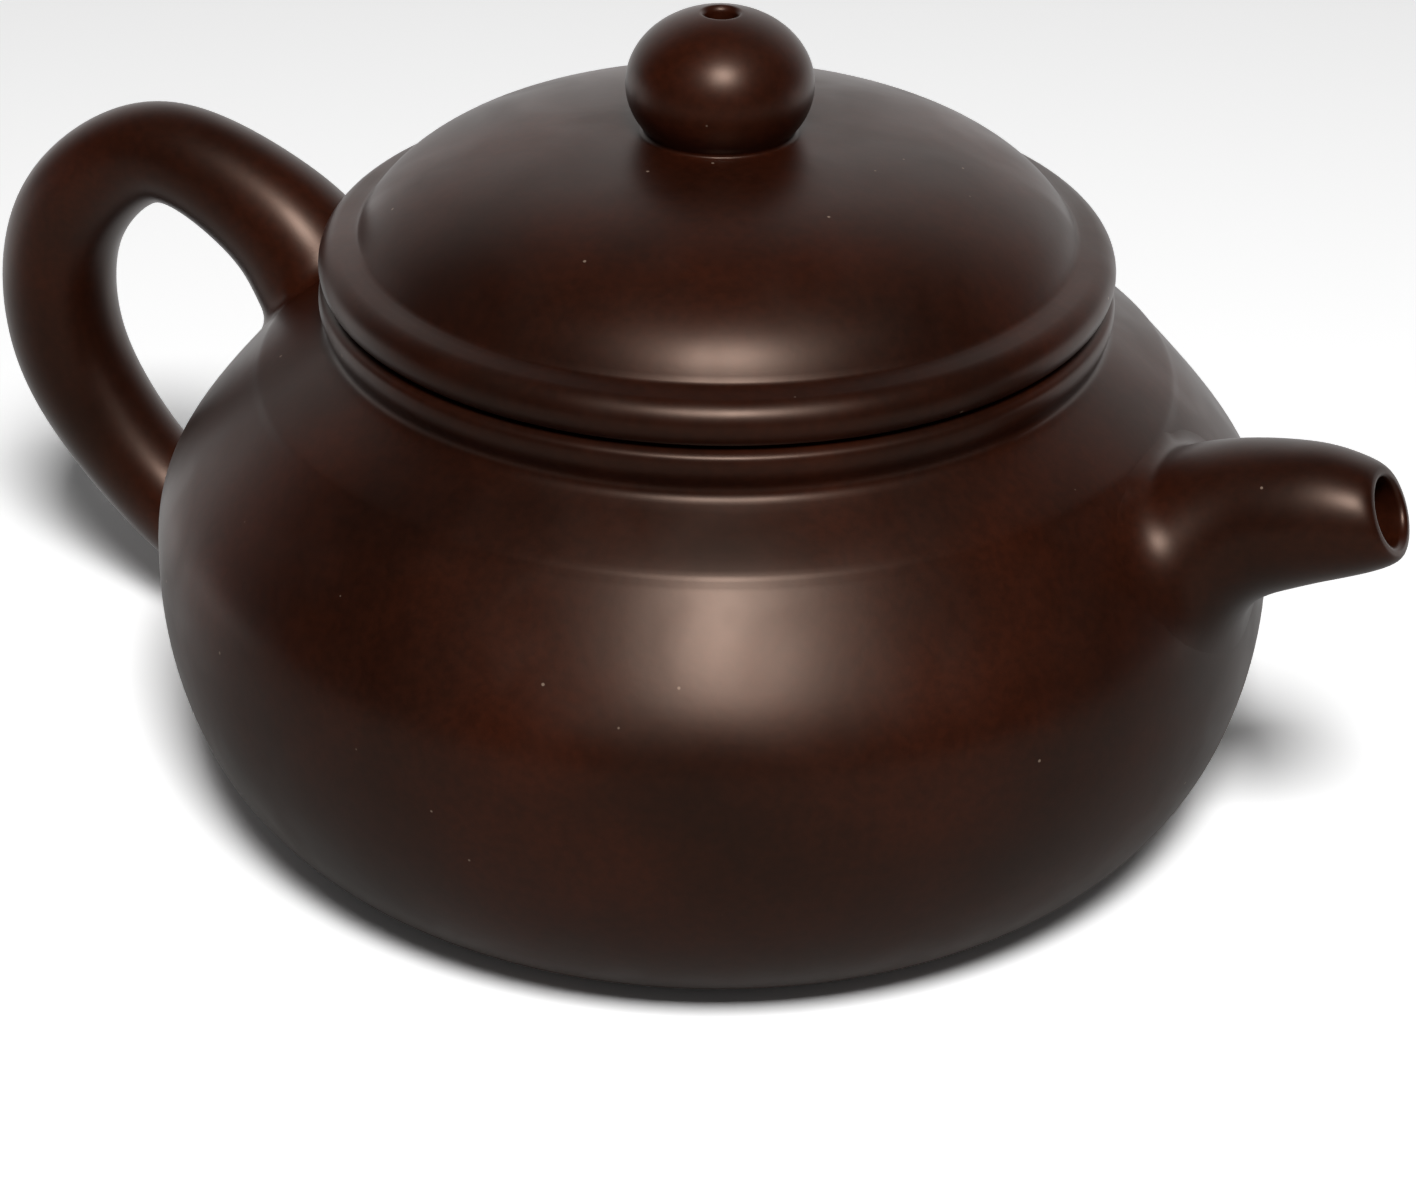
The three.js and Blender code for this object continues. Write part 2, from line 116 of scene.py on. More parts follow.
# An outline turned about the Z axis; the outside lies to the right of the outline's direction
def turnedOutline(outline, steps):
    angles = np.arange(steps) * 2 * math.pi / steps
    vertices = []
    rows = []
    for radius, height in outline:
        first = len(vertices)
        if radius < 1e-6:
            rows.append([first] * steps)
            vertices.append((0, 0, height))
        else:
            rows.append(list(range(first, first + steps)))
            vertices.extend((radius * math.cos(a), radius * math.sin(a), height) for a in angles)
    pairs = list(zip(rows[:-1], rows[1:]))
    if rows[0][0] != rows[0][1]:  # a ring, not a body that closes on the axis
        pairs.append((rows[-1], rows[0]))
    faces = []
    for low, high in pairs:
        for j in range(steps):
            k = (j + 1) % steps
            corners = [low[j], low[k], high[k], high[j]]
            face = [corner for i, corner in enumerate(corners) if corner != corners[i - 1]]
            if len(face) > 2:
                faces.append(face)
    return vertices, faces


# A skin over rings of points; it joins its last ring to its first, or caps both
def lofted(rings, capped):
    count = len(rings[0])
    vertices = list(np.concatenate(rings))
    faces = []
    for i in range(len(rings) - 1 if capped else len(rings)):
        here = i * count
        there = (i + 1) % len(rings) * count
        for j in range(count):
            k = (j + 1) % count
            faces.append([here + j, here + k, there + k, there + j])
    if capped:
        last = (len(rings) - 1) * count
        vertices += [rings[0].mean(0), rings[-1].mean(0)]
        for j in range(count):
            k = (j + 1) % count
            faces.append([len(vertices) - 2, k, j])
            faces.append([len(vertices) - 1, last + j, last + k])
    return vertices, faces


# Straight round cutters, each from one point to another
def rods(lines, radius, sides):
    turn = np.arange(sides) * 2 * math.pi / sides
    vertices = []
    faces = []
    for start, end in lines:
        along = np.array(end, float) - np.array(start, float)
        along /= np.linalg.norm(along)
        across = np.cross(along, (0, 1, 0) if abs(along[1]) < 0.9 else (1, 0, 0))
        across /= np.linalg.norm(across)
        other = np.cross(along, across)
        ring = radius * (np.cos(turn)[:, None] * across + np.sin(turn)[:, None] * other)
        made, madeFaces = lofted([ring + start, ring + end], True)
        faces += [[corner + len(vertices) for corner in face] for face in madeFaces]
        vertices += made
    return vertices, faces


def carve(piece, vertices, faces):
    cutter = newPiece("cutter", vertices, faces)
    cut = piece.modifiers.new("cut", "BOOLEAN")
    cut.object = cutter
    cut.operation = "DIFFERENCE"
    cut.solver = "EXACT"
    whole = piece.data
    piece.data = bpy.data.meshes.new_from_object(piece.evaluated_get(bpy.context.evaluated_depsgraph_get()))
    piece.modifiers.clear()
    bpy.data.objects.remove(cutter)
    bpy.data.meshes.remove(whole)


creaseAngle = 50.0  # shading is smooth, with a crease only where two faces meet at more than this


def finishPiece(piece, body, nodes):
    piece.data.name = piece.name
    piece.data.shade_smooth()
    piece.data.set_sharp_from_angle(angle=math.radians(creaseAngle))
    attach(piece, body)
    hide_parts(*nodes)
    return piece


# The pot: base, side wall, top disc and mouth band, which slip and burnishing have made one skin
pot = {
    "bellyRadius": 55.0,
    "bellyHeight": 25.0,
    "bellyDrop": 8.0,  # pull of the widest place on the curve below it
    "bellyRise": 7.8,  # and on the curve above it
    "footRadius": 38.0,
    "footSweep": 13.7,  # pull of the low, nearly flat start of the side
    "footSweepRise": 1.0,
    "footRing": 5.0,  # width of the ring that it stands on
    "hollowDepth": 0.8,  # of the dish inside that ring
    "hollowSlope": 4.0,  # width of the slope down to the ring
    "floorHeight": 3.4,
    "cornerRise": 2.5,  # the rounded corner between floor and wall in the chamber
    "cornerReach": 2.2,
    "wall": 3.0,
    "ridgeRadius": 44.55,  # the soft line where the top disc meets the side
    "ridgeHeight": 45.2,
    "ridgeSweep": 15.5,  # pull of the side's slope there
    "ridgeLean": 48.0,  # and its angle
    "ridgeLip": 0.2,  # the disc's edge stands out this far past the side
    "shoulderRoll": 1.1,
    "shoulderThickness": 3.0,
    "neckRadius": 37.6,
    "neckHeight": 50.8,
    "neckFillet": 1.4,  # cove between the top disc and the mouth band
    "mouthRadius": 33.6,
    "mouthBandHeight": 3.6,
    "mouthBandFlare": 0.5,  # the band is this much wider at its top
    "mouthBandSwell": 0.9,  # pull of its bulge
    "mouthBandEase": 0.4,  # rounding of its top edges
    "softness": 0.4,  # how far the lines of the outside are rounded
    "softnessInside": 0.7,
    "bareDepth": 0.6,  # the clay is bare deeper than this under the outer skin,
    "bareAbove": 1.0,  # over this height
    "bareBelow": 0.5,  # and this far below the top of the mouth
    "pointGaps": (0.2, 1.0),  # least and greatest distance between points of the outside
    "pointGapsInside": (0.4, 1.6),
    "steps": 288,
}
mouthTop = pot["neckHeight"] + pot["mouthBandHeight"]


def sideOutline():
    lean = math.radians(pot["ridgeLean"])
    widest = (pot["bellyRadius"], pot["bellyHeight"])
    lower = bezier([
        (pot["footRadius"], 0),
        (pot["footRadius"] + pot["footSweep"], pot["footSweepRise"]),
        (pot["bellyRadius"], pot["bellyHeight"] - pot["bellyDrop"]),
        widest,
    ])
    upper = bezier([
        widest,
        (pot["bellyRadius"], pot["bellyHeight"] + pot["bellyRise"]),
        (
            pot["ridgeRadius"] + pot["ridgeSweep"] * math.cos(lean),
            pot["ridgeHeight"] - pot["ridgeSweep"] * math.sin(lean),
        ),
        (pot["ridgeRadius"], pot["ridgeHeight"]),
    ])
    return np.vstack([lower, upper[1:]])


def shoulderOutline():
    edge = pot["ridgeRadius"] + pot["ridgeLip"]
    fall = pot["neckHeight"] - pot["neckFillet"] - pot["ridgeHeight"]
    slope = math.degrees(math.atan2(fall, pot["ridgeRadius"] - pot["neckRadius"]))
    centre = (pot["neckRadius"] + pot["neckFillet"], pot["neckHeight"])
    cove = arc(centre, pot["neckFillet"], pot["neckFillet"], 270 - slope, 180)
    face = bezier([
        (edge, pot["ridgeHeight"]),
        (edge - pot["shoulderRoll"], pot["ridgeHeight"] + pot["shoulderRoll"]),
        cove[0],
    ])
    return np.vstack([face, cove[1:]])


def mouthBandOutline():
    edge = pot["neckRadius"] + pot["mouthBandFlare"]
    middle = pot["neckRadius"] + pot["mouthBandFlare"] / 2 + pot["mouthBandSwell"]
    return bezier([
        (pot["neckRadius"], pot["neckHeight"]),
        (middle, pot["neckHeight"] + pot["mouthBandHeight"] / 2),
        (edge, mouthTop - pot["mouthBandEase"]),
    ])


sideLine = sideOutline()
outside = softened(np.vstack([sideLine, shoulderOutline(), mouthBandOutline()[1:]]), 0.1, pot["softness"])


def underOutline():
    ring = pot["footRadius"] - pot["footRing"]
    return [(0, pot["hollowDepth"]), (ring - pot["hollowSlope"], pot["hollowDepth"]), (ring, 0)]


def mouthOutline():
    ease = pot["mouthBandEase"]
    edge = pot["neckRadius"] + pot["mouthBandFlare"]
    return [
        (edge - 2 * ease, mouthTop),
        (pot["mouthRadius"] + ease, mouthTop),
        (pot["mouthRadius"], mouthTop - ease),
        (pot["mouthRadius"], pot["neckHeight"] - pot["shoulderThickness"]),
    ]


def chamberOutline():
    wall = beside(sideLine, pot["wall"])
    wall = wall[wall[:, 1] > pot["floorHeight"] + pot["cornerRise"]][::-1]
    corner = wall[-1][0] - pot["cornerReach"]
    return np.vstack([wall, [(corner, pot["floorHeight"]), (0, pot["floorHeight"])]])


def buildPot():
    front = softened(np.vstack([underOutline(), outside, mouthOutline()]), 0.1, pot["softness"] / 2)
    back = softened(np.vstack([front[-1:], chamberOutline()]), 0.2, pot["softnessInside"])
    outline = np.vstack([
        thinned(front, *pot["pointGaps"]),
        thinned(back, *pot["pointGapsInside"])[1:],
    ])
    piece = newPiece("pot_body", *turnedOutline(outline, pot["steps"]))
    port = (portPoint + portAlong * spout["portOut"], portPoint - portAlong * spout["portIn"])
    carve(piece, *rods([port], spout["portRadius"], spout["portSides"]))
    return finishPiece(piece, "pot", ["base_disc", "belly_wall", "shoulder_disc", "mouth_rim"])


# How far points lie outside the pot's skin, with the nearest points of the skin and the directions out of it
def fromSkin(points):
    radius = np.hypot(points[:, 0], points[:, 1])
    flat = np.stack([radius, points[:, 2]], 1)[:, None]
    start = outside[None, :-1]
    along = outside[None, 1:] - start
    share = np.clip(((flat - start) * along).sum(2) / (along**2).sum(2), 0, 1)
    near = start + share[:, :, None] * along
    gap = flat - near
    row = np.arange(len(points))
    best = np.argmin((gap**2).sum(2), axis=1)
    out = np.stack([along[0, best, 1], -along[0, best, 0]], 1)
    out /= np.linalg.norm(out, axis=1)[:, None]
    distance = (gap[row, best] * out).sum(1)
    foot = near[row, best]
    around = points[:, :2] / radius[:, None]
    feet = np.column_stack([foot[:, :1] * around, foot[:, 1]])
    normals = np.column_stack([out[:, :1] * around, out[:, 1]])
    return distance, feet, normals


def unit(vectors):
    return vectors / np.linalg.norm(vectors, axis=-1, keepdims=True)


# A value that changes round a tube, from its top over its sides to its bottom
def roundTube(turn, top, side, bottom):
    height = np.cos(turn)
    return side + (top - side) * np.clip(height, 0, 1) ** 2 + (bottom - side) * np.clip(-height, 0, 1) ** 2


# The smear of slip that carries a tube on to the pot's skin
slip = {
    "pull": 1.2,  # how long its curve keeps to the skin and to the tube, as a share of its reach
    "sunk": 0.05,  # its edge lies this far under the skin
    "depth": 1.3,  # and the piece is closed this far under it
}


# Rings of that smear, and where on the tube it ends; the tube meets the skin between inner and outer
def rootRings(surface, inner, outer, turn, width, climb, count):
    low = np.full(len(turn), float(inner))
    high = np.full(len(turn), float(outer))
    for _ in range(24):
        middle = (low + high) / 2
        clear = fromSkin(surface(middle, turn))[0] > 0
        high = np.where(clear, middle, high)
        low = np.where(clear, low, middle)
    ahead = math.copysign(1.0, outer - inner)
    hits = surface(high, turn)
    hitNormals = fromSkin(hits)[2]
    away = hits - hits.mean(0)
    away = unit(away - (away * hitNormals).sum(1)[:, None] * hitNormals)
    feet = hits + away * width[:, None]
    for _ in range(3):
        feet, normals = fromSkin(feet)[1:]
    feet = feet - normals * slip["sunk"]
    end = high + ahead * climb
    tops = surface(end, turn)
    leaving = unit(surface(end + ahead * 0.05, turn) - tops)
    entering = unit(-away + (away * normals).sum(1)[:, None] * normals)
    pull = slip["pull"] * np.linalg.norm(tops - feet, axis=1)[:, None]
    rings = []
    for t in np.linspace(0, 1, count):
        ring = (2 * t**3 - 3 * t**2 + 1) * feet + (t**3 - 2 * t**2 + t) * pull * entering
        rings.append(ring + (3 * t**2 - 2 * t**3) * tops + (t**3 - t**2) * pull * leaving)
    return rings, end, feet, normals


# The spout: a short horn that spreads on to the belly and rounds off at its pouring mouth
spout = {
    "rootDrop": 6.5,  # its line meets the side this far under the ridge line
    "rootRise": 31.7,  # and leaves it at this angle
    "bend": 6.9,  # pull of that angle on its line
    "reach": 12.88,  # its tip stands this far out past the belly
    "tipHeight": 44.7,
    "tipRadius": 3.9,
    "tipTilt": 13.8,  # its pouring mouth looks this much further up than its line does
    "tipTurn": 0.6,  # share of its length where the tilt starts
    "rootRadius": 8.0,
    "fullness": 0.46,  # power by which it narrows towards the tip
    "spreadLength": 7.0,  # the root starts to spread this far out from the belly
    "spreadDepth": 4.0,  # and has spread fully this far inside it
    "spreadSide": 5.5,  # it is this much wider there at each side
    "spreadCurve": 2.0,  # power by which the spread fades out
    "spreadDrop": 3.0,  # the spread lowers its underside
    "spreadDip": 1.0,  # and its top
    "boreRadius": 3.2,
    "portRadius": 7.0,  # the round hole through the side wall, where the bore ends
    "portOut": 5.0,  # how far its cutter reaches out of the wall and into the chamber
    "portIn": 9.0,
    "portDepth": 0.7,  # the bore's last ring lies this far inside, and is this much wider
    "portFlare": 0.5,
    "lipLength": 0.6,  # the rounded lip of the mouth
    "lipRound": 0.1,
    "lipWidth": 0.3,
    "smearTop": 1.5,  # width of the smear of slip round its root, and how far it climbs the spout
    "smearSide": 6.5,
    "smearBottom": 6.0,
    "climbTop": 1.5,
    "climbSide": 3.0,
    "climbBottom": 6.0,
    "meets": (-7.0, 9.0),  # the stretch of its line in which it meets the skin
    "smearRings": 28,
    "evenRings": 24,
    "lastRings": 18,
    "lastPart": 0.3,  # as a share of its length
    "sides": 128,
    "portSides": 96,
}


# Points of a ring round a line in the XZ plane; side counts from the top towards -Y
def ringPoints(x, z, angle, turn, radiusUp, radiusSide):
    up = radiusUp * np.cos(turn)
    side = radiusSide * np.sin(turn)
    return np.stack([x - up * np.sin(angle), -side, z + up * np.cos(angle)], 1)


# The spout's line in the XZ plane; its first point and direction are the port's too
def spoutTrack():
    height = pot["ridgeHeight"] - spout["rootDrop"]
    upper = sideLine[sideLine[:, 1] > pot["bellyHeight"]]
    root = np.array([np.interp(height, upper[:, 1], upper[:, 0]), height])
    rise = math.radians(spout["rootRise"])
    along = np.array([math.cos(rise), math.sin(rise)])
    tip = (pot["bellyRadius"] + spout["reach"], spout["tipHeight"])
    return root, along, bezier([root, root + along * spout["bend"], tip], 400)


rootPoint, rootAlong, spoutLine = spoutTrack()
portPoint = np.array([rootPoint[0], 0, rootPoint[1]])
portAlong = np.array([rootAlong[0], 0, rootAlong[1]])
spoutLengths = lengthAlong(spoutLine)
spoutLength = spoutLengths[-1]


def spoutCentre(distance):
    inside = np.clip(distance, 0, spoutLength)
    tangents = np.gradient(spoutLine, axis=0)
    angle = np.interp(inside, spoutLengths, np.arctan2(tangents[:, 1], tangents[:, 0]))
    x = np.interp(inside, spoutLengths, spoutLine[:, 0]) + (distance - inside) * np.cos(angle)
    z = np.interp(inside, spoutLengths, spoutLine[:, 1]) + (distance - inside) * np.sin(angle)
    share = np.clip((distance / spoutLength - spout["tipTurn"]) / (1 - spout["tipTurn"]), 0, 1)
    return x, z, angle + math.radians(spout["tipTilt"]) * share**2 * (3 - 2 * share)


def spoutSurface(distance, turn):
    distance = distance + np.zeros(len(turn))
    x, z, angle = spoutCentre(distance)
    rest = np.clip(1 - distance / spoutLength, 0, None)
    radius = spout["tipRadius"] + (spout["rootRadius"] - spout["tipRadius"]) * rest ** spout["fullness"]
    spread = (spout["spreadLength"] - distance) / (spout["spreadLength"] + spout["spreadDepth"])
    spread = np.clip(spread, 0, 1) ** spout["spreadCurve"]
    drop = (spout["spreadDrop"] + spout["spreadDip"]) / 2 * spread
    growth = (spout["spreadDrop"] - spout["spreadDip"]) / 2 * spread
    x = x + drop * np.sin(angle)
    z = z - drop * np.cos(angle)
    return ringPoints(x, z, angle, turn, radius + growth, radius + spout["spreadSide"] * spread)


def boreRing(distance, turn, radius):
    distance = distance + np.zeros(len(turn))
    return ringPoints(*spoutCentre(distance), turn, radius, radius)


def buildSpout():
    turn = np.arange(spout["sides"]) * 2 * math.pi / spout["sides"]
    width = roundTube(turn, spout["smearTop"], spout["smearSide"], spout["smearBottom"])
    climb = roundTube(turn, spout["climbTop"], spout["climbSide"], spout["climbBottom"])
    root = rootRings(spoutSurface, *spout["meets"], turn, width, climb, spout["smearRings"])
    rings, start, feet, normals = root
    # the rings lie closer together in the last part, where the horn narrows faster
    last = spout["lastPart"]
    even = np.linspace(1, last, spout["evenRings"])[1:]
    closer = np.linspace(last ** spout["fullness"], 0, spout["lastRings"])[1:] ** (1 / spout["fullness"])
    for rest in np.r_[even, closer]:
        rings.append(spoutSurface(spoutLength - (spoutLength - start) * rest, turn))
    lip = bezier([
        (spoutLength, spout["tipRadius"]),
        (spoutLength + spout["lipRound"], spout["boreRadius"] + spout["lipWidth"]),
        (spoutLength - spout["lipRound"], spout["boreRadius"]),
        (spoutLength - spout["lipLength"], spout["boreRadius"]),
    ], 10)
    bore = bezier([lip[-1], (0, spout["portRadius"])], 18)
    port = (-spout["portDepth"], spout["portRadius"] + spout["portFlare"])
    for distance, radius in np.vstack([lip[1:], bore[1:], [port]]):
        rings.append(boreRing(distance, turn, radius))
    rings.append(feet - normals * slip["depth"])
    piece = newPiece("spout_skin", *lofted(rings, False))
    return finishPiece(piece, "pot", ["spout"])


# The strainer: a pierced clay ball in the port, bulging into the chamber
strainer = {
    "ballDepth": 3.0,  # centre of the ball behind the wall's face
    "collarDepth": 0.6,  # the ball goes on as a straight collar to here
    "radius": 6.7,
    "wall": 1.5,
    "holeRadius": 0.9,
    "holeIn": 0.4,  # how far a hole's cutter reaches past the wall, inside and outside
    "holeOut": 1.0,
    "rings": [1, 6, 12],  # holes in each ring, from the middle out
    "ringStep": 27.0,  # angle between one ring of holes and the next
    "holeSides": 20,
    "steps": 72,
}


def buildStrainer():
    inner = strainer["radius"] - strainer["wall"]
    collar = strainer["ballDepth"] - strainer["collarDepth"]
    ball = arc((0, 0), strainer["radius"], strainer["radius"], -90, 0, 24)
    hollow = arc((0, 0), inner, inner, 0, -90, 24)
    outline = np.vstack([ball, [(strainer["radius"], collar), (inner, collar)], hollow])
    outline[0][0] = outline[-1][0] = 0
    vertices, faces = turnedOutline(outline, strainer["steps"])
    local = np.array(vertices)
    across = np.array([-portAlong[2], 0, portAlong[0]])
    axes = np.stack([np.cross(across, portAlong), across, portAlong])
    centre = portPoint - portAlong * strainer["ballDepth"]
    start = inner - strainer["holeIn"]
    end = strainer["radius"] + strainer["holeOut"]
    lines = []
    for ring, holes in enumerate(strainer["rings"]):
        lean = math.radians(ring * strainer["ringStep"])
        for i in range(holes):
            a = 2 * math.pi * i / holes
            way = [math.sin(lean) * math.cos(a), math.sin(lean) * math.sin(a), -math.cos(lean)] @ axes
            lines.append((centre + way * start, centre + way * end))
    piece = newPiece("strainer_ball", local @ axes + centre, faces)
    carve(piece, *rods(lines, strainer["holeRadius"], strainer["holeSides"]))
    return finishPiece(piece, "pot", ["strainer"])


# The handle: a bent rod, luted to the top disc and to the low side
handle = {
    # the rod's line: distance from the pot's axis, height, thickness
    "line": [
        (41.0, 38.6, 14.6),
        (44.0, 44.6, 14.6),
        (49.4, 50.3, 12.5),
        (63.5, 55.1, 10.3),
        (75.4, 45.3, 11.7),
        (76.5, 30.0, 12.0),
        (63.65, 13.95, 11.1),
        (51.4, 10.0, 13.6),
        (45.4, 10.0, 13.6),
    ],
    "evenness": 2.2,  # rounding of the line between these points
    "smearTop": 1.6,
    "smearFoot": 2.6,
    "climb": 2.4,
    "meetsTop": (2.0, 20.0),  # the stretches in which it meets the skin, from either end of its line
    "meetsFoot": (1.0, 22.0),
    "smearRings": 12,
    "rings": 150,
    "sides": 96,
}


# A smooth line through the points, Catmull and Rom's curve with the points' own spacing
def throughPoints(points, count):
    points = np.vstack([2 * points[0] - points[1], points, 2 * points[-1] - points[-2]])
    t = np.linspace(0, 1, count, endpoint=False)[:, None]
    spans = []
    for p0, p1, p2, p3 in zip(points[:-3], points[1:-2], points[2:-1], points[3:]):
        d0, d1, d2 = (math.sqrt(np.linalg.norm(b - a)) for a, b in ((p0, p1), (p1, p2), (p2, p3)))
        leave = ((p1 - p0) / d0 - (p2 - p0) / (d0 + d1) + (p2 - p1) / d1) * d1
        reach = ((p2 - p1) / d1 - (p3 - p1) / (d1 + d2) + (p3 - p2) / d2) * d1
        span = (2 * t**3 - 3 * t**2 + 1) * p1 + (t**3 - 2 * t**2 + t) * leave
        spans.append(span + (3 * t**2 - 2 * t**3) * p2 + (t**3 - t**2) * reach)
    return np.vstack(spans + [points[-2:-1]])


def handleTrack():
    points = np.array([(-out, height, thick / 2) for out, height, thick in handle["line"]])
    return softened(throughPoints(points, 60), 0.2, handle["evenness"])


handleLine = handleTrack()
handleLengths = lengthAlong(handleLine)
handleLength = handleLengths[-1]


def handleSurface(distance, turn):
    distance = distance + np.zeros(len(turn))
    tangents = np.gradient(handleLine, axis=0)
    angles = np.unwrap(np.arctan2(tangents[:, 1], tangents[:, 0]))
    x, z, radius = (np.interp(distance, handleLengths, handleLine[:, i]) for i in range(3))
    return ringPoints(x, z, np.interp(distance, handleLengths, angles), turn, radius, radius)


def buildHandle():
    turn = np.arange(handle["sides"]) * 2 * math.pi / handle["sides"]
    climb = np.full(len(turn), handle["climb"])
    smearTop = np.full(len(turn), handle["smearTop"])
    smearFoot = np.full(len(turn), handle["smearFoot"])
    count = handle["smearRings"]
    inner, outer = handle["meetsTop"]
    rings, start, feet, normals = rootRings(handleSurface, inner, outer, turn, smearTop, climb, count)
    inner, outer = (handleLength - distance for distance in handle["meetsFoot"])
    low = rootRings(handleSurface, inner, outer, turn, smearFoot, climb, count)
    lowRings, end, lowFeet, lowNormals = low
    rings = [feet - normals * slip["depth"]] + rings
    for share in np.linspace(0, 1, handle["rings"])[1:-1]:
        rings.append(handleSurface(start + (end - start) * share, turn))
    rings += lowRings[::-1]
    rings.append(lowFeet - lowNormals * slip["depth"])
    piece = newPiece("handle_skin", *lofted(rings, True))
    return finishPiece(piece, "pot", ["handle"])


# The lid: a domed plate on a rolled edge
lid = {
    "seatGap": 0.3,  # between the mouth and the lid
    "edgeRadius": 38.2,
    "beadRadius": 2.5,  # the roll round its edge
    "beadRise": 1.8,  # height of the roll's middle over the seat
    "beadLift": 0.2,  # the roll starts this far over the seat
    "beadTop": 70.0,  # and ends at this angle
    "beadFoot": 0.8,  # the flat seat ends this far inside the roll
    "edgeThickness": 4.6,
    "domeRadius": 34.4,
    "domeRise": 9.9,
    "domeRoll": 9.9,  # pull of the dome's steep edge
    "domeSlope": 60.5,  # and its angle
    "crownReach": 8.0,  # pull of the flat crown
    "wall": 2.6,
    "softness": 0.22,
    "pointGaps": (0.2, 0.9),
    "steps": 256,
}
lidSeat = mouthTop + lid["seatGap"]
domeSeat = lidSeat + lid["edgeThickness"]
domeTop = domeSeat + lid["domeRise"]

# The ring under the lid that keeps it in the mouth
flange = {
    "clearance": 0.4,  # between it and the mouth
    "wall": 2.4,
    "depth": 7.0,
    "taper": 0.5,  # narrowing of its free end, so that it finds the mouth
    "taperHeight": 1.2,
    "buried": 0.8,  # its root reaches this far up into the lid
    "buriedStep": 0.5,  # and is this much narrower at each side
}
flangeOuter = pot["mouthRadius"] - flange["clearance"]
flangeInner = flangeOuter - flange["wall"]

# The knob: a flattened ball with the air hole down its middle
knob = {
    "radius": 8.9,
    "halfHeight": 7.2,
    "baseRadius": 6.8,
    "airHole": 1.5,  # radius
    "airHoleEase": 0.4,  # rounding of its edge
    "smear": 1.1,  # the fine line of slip round its foot
    "smearSunk": 0.05,  # whose edge lies this far under the dome
    "smearClimb": 5,  # points of the ball's curve that the slip covers
    "buried": 1.0,  # the ball's foot reaches this far into the dome
    "softness": 0.12,
    "pointGaps": (0.12, 0.5),
    "steps": 160,
}


def domeOutline():
    slope = math.radians(lid["domeSlope"])
    roll = lid["domeRoll"]
    return bezier([
        (lid["domeRadius"], domeSeat),
        (lid["domeRadius"] - roll * math.cos(slope), domeSeat + roll * math.sin(slope)),
        (knob["baseRadius"] + lid["crownReach"], domeTop),
        (knob["baseRadius"], domeTop),
    ])


def buildLid():
    dome = domeOutline()
    centre = (lid["edgeRadius"] - lid["beadRadius"], lidSeat + lid["beadRise"])
    lowest = -math.degrees(math.asin((lid["beadRise"] - lid["beadLift"]) / lid["beadRadius"]))
    bead = arc(centre, lid["beadRadius"], lid["beadRadius"], lowest, lid["beadTop"])
    under = beside(dome, lid["wall"])
    under = under[under[:, 1] > domeSeat]
    hole = knob["airHole"]
    outline = np.vstack([
        [(flangeInner, lidSeat), (bead[0][0] - lid["beadFoot"], lidSeat)],
        bead,
        dome,
        [(hole, domeTop), (hole, domeTop - lid["wall"])],
        under[::-1],
        [(flangeInner, lidSeat)],
    ])
    line = thinned(softened(outline, 0.1, lid["softness"]), *lid["pointGaps"])[:-1]
    piece = newPiece("lid_shell", *turnedOutline(line, lid["steps"]))
    return finishPiece(piece, "lid", ["lid_rim", "lid_dome"])


def buildFlange():
    edge = lidSeat - flange["depth"]
    top = lidSeat + flange["buried"]
    outline = [
        (flangeInner, edge),
        (flangeOuter - flange["taper"], edge),
        (flangeOuter, edge + flange["taperHeight"]),
        (flangeOuter, lidSeat),
        (flangeOuter - flange["buriedStep"], top),
        (flangeInner + flange["buriedStep"], top),
        (flangeInner, lidSeat),
        (flangeInner, edge),
    ]
    line = thinned(softened(outline, 0.1, lid["softness"]), *lid["pointGaps"])[:-1]
    piece = newPiece("flange_ring", *turnedOutline(line, lid["steps"]))
    return finishPiece(piece, "lid", ["lid_flange"])


def buildKnob():
    low = math.degrees(math.acos(knob["baseRadius"] / knob["radius"]))
    high = math.degrees(math.acos((knob["airHole"] + knob["airHoleEase"]) / knob["radius"]))
    centre = (0, domeTop + knob["halfHeight"] * math.sin(math.radians(low)))
    ball = arc(centre, knob["radius"], knob["halfHeight"], -low, high, 90)
    climb = knob["smearClimb"]
    foot = domeTop - knob["buried"]
    smear = bezier([
        (knob["baseRadius"] + knob["smear"], domeTop - knob["smearSunk"]),
        (knob["baseRadius"], domeTop),
        ball[climb],
    ], 10)
    outline = np.vstack([
        [(knob["airHole"], foot), (knob["baseRadius"], foot)],
        smear,
        ball[climb + 1 :],
        [(knob["airHole"], ball[-1][1] - knob["airHoleEase"]), (knob["airHole"], foot)],
    ])
    line = thinned(softened(outline, 0.05, knob["softness"]), *knob["pointGaps"])[:-1]
    piece = newPiece("knob_ball", *turnedOutline(line, knob["steps"]))
    return finishPiece(piece, "lid", ["knob"])


# Materials
def linearColour(hexColour):
    channels = [int(hexColour[i : i + 2], 16) / 255 for i in (1, 3, 5)]
    return tuple(c / 12.92 if c <= 0.04045 else ((c + 0.055) / 1.055) ** 2.4 for c in channels) + (1.0,)


# Adds a node; settings name its properties or inputs, and a socket as a value links it
def addNode(tree, kind, **settings):
    made = tree.nodes.new("ShaderNode" + kind)
    for key, value in settings.items():
        name = key.replace("_", " ")
        if isinstance(value, bpy.types.NodeSocket):
            tree.links.new(value, made.inputs[int(key[1:])] if key[1:].isdigit() else made.inputs[name])
        elif hasattr(made, key):
            setattr(made, key, value)
        else:
            made.inputs[int(key[1:]) if key[1:].isdigit() else name].default_value = value
    return made


def emptyTree(owner):
    owner.use_nodes = True
    owner.node_tree.nodes.clear()
    return owner.node_tree


